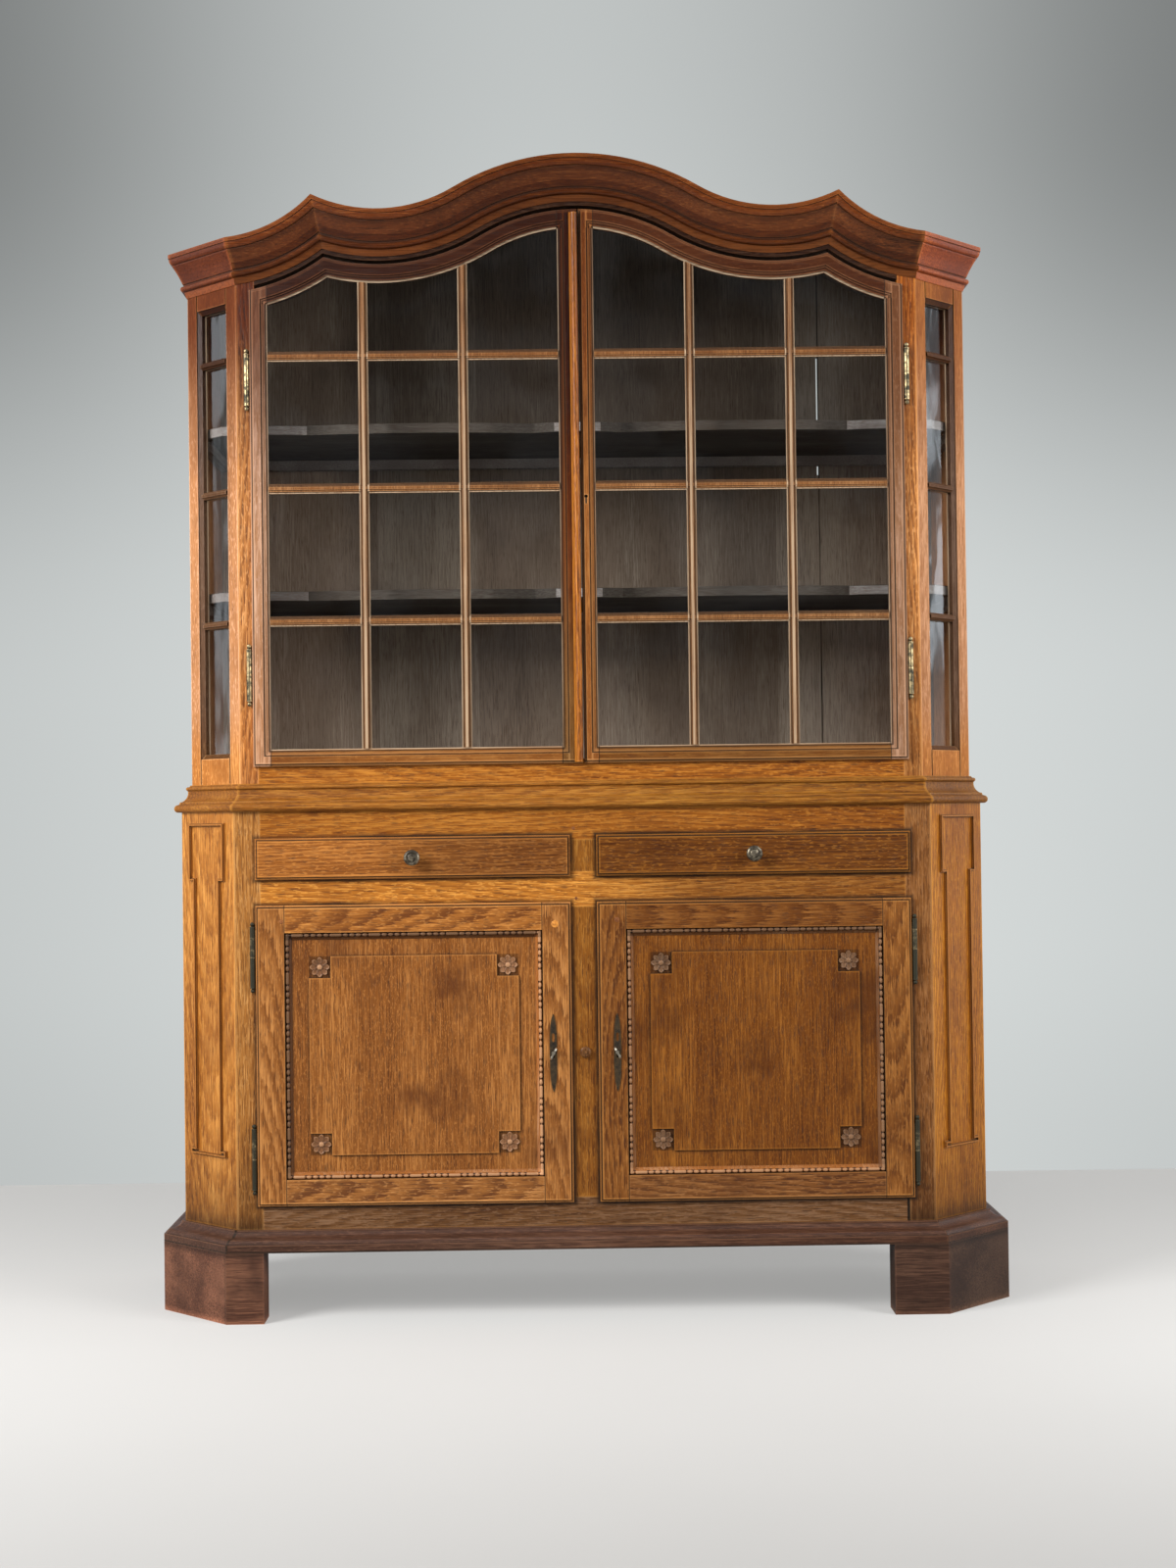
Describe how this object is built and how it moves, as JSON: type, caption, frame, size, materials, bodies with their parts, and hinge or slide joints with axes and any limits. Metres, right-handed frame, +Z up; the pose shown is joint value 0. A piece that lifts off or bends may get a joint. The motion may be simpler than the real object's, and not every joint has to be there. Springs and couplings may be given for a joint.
{
  "type": "display cabinet",
  "caption": "Two-part oak display cabinet with arched cornice, glazed upper doors and canted corner lights over drawers and panelled lower doors.",
  "frame": {"origin": "middle of the base at floor level: centre of the bounding box in plan, feet undersides at zero", "axes": "+Z up, +X to the right seen from the front, front faces -Y"},
  "size_m": [1.674, 0.48, 2.255],
  "materials": {
    "oak_gold": "waxed oak, golden brown",
    "oak_brown": "waxed oak, mid brown",
    "oak_dark": "waxed oak, dark reddish brown",
    "oak_black": "worn dark brown stain",
    "oak_inside": "unfinished grey-brown boards",
    "brass_aged": "aged, dull",
    "bronze_dark": "dark patina",
    "knob_metal": "worn grey metal",
    "iron": "dark iron",
    "glass": "old clear glass"
  },
  "bodies": {
    "carcase": {"feet": "oak_black", "plinth_moulding": "oak_black", "base_floor": "oak_inside", "base_top": "oak_inside", "base_sides": "oak_gold", "base_back_boards": "oak_inside", "base_stiles": "oak_gold", "base_rails": "oak_gold", "base_centre_posts": "oak_gold", "base_corners": "oak_gold", "base_corner_mouldings": "oak_gold", "centre_button": "oak_gold", "drawer_runners": "oak_inside", "waist_moulding": "oak_brown", "upper_floor": "oak_inside", "upper_sides": "oak_brown", "upper_back_boards": "oak_inside", "upper_roof": "oak_inside", "upper_stiles": "oak_brown", "upper_bottom_rail": "oak_gold", "frieze": "oak_dark", "cornice_front": "oak_dark", "cornice_returns": "oak_dark", "corner_light_left": "oak_brown", "corner_light_right": "oak_brown", "corner_glass": "glass", "display_shelves": "oak_inside", "shelf_battens": "oak_inside", "hinge_frame_halves": "brass_aged"},
    "drawer_left": {"drawer_left_front": "oak_gold", "drawer_left_box": "oak_inside", "drawer_left_knob": "knob_metal"},
    "base_door_left": {"base_door_left_frame": "oak_gold", "base_door_left_panel": "oak_gold", "base_door_left_carving": "oak_gold", "base_door_left_hinges": "brass_aged", "base_door_left_lock": "bronze_dark"},
    "upper_door_left": {"upper_door_left_frame": "oak_brown", "upper_door_left_bars": "oak_brown", "upper_door_left_glass": "glass", "upper_door_left_hinges": "brass_aged", "meeting_bead": "oak_brown"},
    "key_left": {"key_left": "knob_metal"},
    "bolt_left": {"bolt_left": "iron"},
    "drawer_right": {"drawer_right_front": "oak_gold", "drawer_right_box": "oak_inside", "drawer_right_knob": "knob_metal"},
    "base_door_right": {"base_door_right_frame": "oak_gold", "base_door_right_panel": "oak_gold", "base_door_right_carving": "oak_gold", "base_door_right_hinges": "brass_aged", "base_door_right_lock": "bronze_dark"},
    "upper_door_right": {"upper_door_right_frame": "oak_brown", "upper_door_right_bars": "oak_brown", "upper_door_right_glass": "glass", "upper_door_right_hinges": "brass_aged", "upper_door_right_lock": "iron"},
    "key_right": {"key_right": "knob_metal"},
    "bolt_right": {"bolt_right": "iron"}
  },
  "joints": [
    {"name": "upper_door_left_swing", "type": "hinge", "parent": "carcase", "child": "upper_door_left", "pos_m": [-0.6455, -0.186, 1.5355], "axis": [0, 0, -1], "range_deg": [0, 115]},
    {"name": "base_door_left_swing", "type": "hinge", "parent": "carcase", "child": "base_door_left", "pos_m": [-0.642, -0.206, 0.504], "axis": [0, 0, -1], "range_deg": [0, 115]},
    {"name": "drawer_left_slide", "type": "slide", "parent": "carcase", "child": "drawer_left", "axis": [0, -1, 0], "range_m": [0, 0.3]},
    {"name": "key_left_turn", "type": "hinge", "parent": "base_door_left", "child": "key_left", "pos_m": [-0.062, -0.212, 0.508], "axis": [0, 1, 0], "range_deg": [0, 180]},
    {"name": "bolt_left_throw", "type": "slide", "parent": "base_door_left", "child": "bolt_left", "axis": [1, 0, 0], "range_m": [0, 0.01]},
    {"name": "upper_door_right_swing", "type": "hinge", "parent": "carcase", "child": "upper_door_right", "pos_m": [0.6455, -0.186, 1.5355], "axis": [0, 0, 1], "range_deg": [0, 115]},
    {"name": "base_door_right_swing", "type": "hinge", "parent": "carcase", "child": "base_door_right", "pos_m": [0.642, -0.206, 0.504], "axis": [0, 0, 1], "range_deg": [0, 115]},
    {"name": "drawer_right_slide", "type": "slide", "parent": "carcase", "child": "drawer_right", "axis": [0, -1, 0], "range_m": [0, 0.3]},
    {"name": "key_right_turn", "type": "hinge", "parent": "base_door_right", "child": "key_right", "pos_m": [0.062, -0.212, 0.508], "axis": [0, -1, 0], "range_deg": [0, 180]},
    {"name": "bolt_right_throw", "type": "slide", "parent": "base_door_right", "child": "bolt_right", "axis": [-1, 0, 0], "range_m": [0, 0.01]}
  ],
  "couplings": [
    {"joint": "key_left_turn", "follows": "bolt_left_throw", "rad_per_m": 314},
    {"joint": "key_right_turn", "follows": "bolt_right_throw", "rad_per_m": 314}
  ]
}
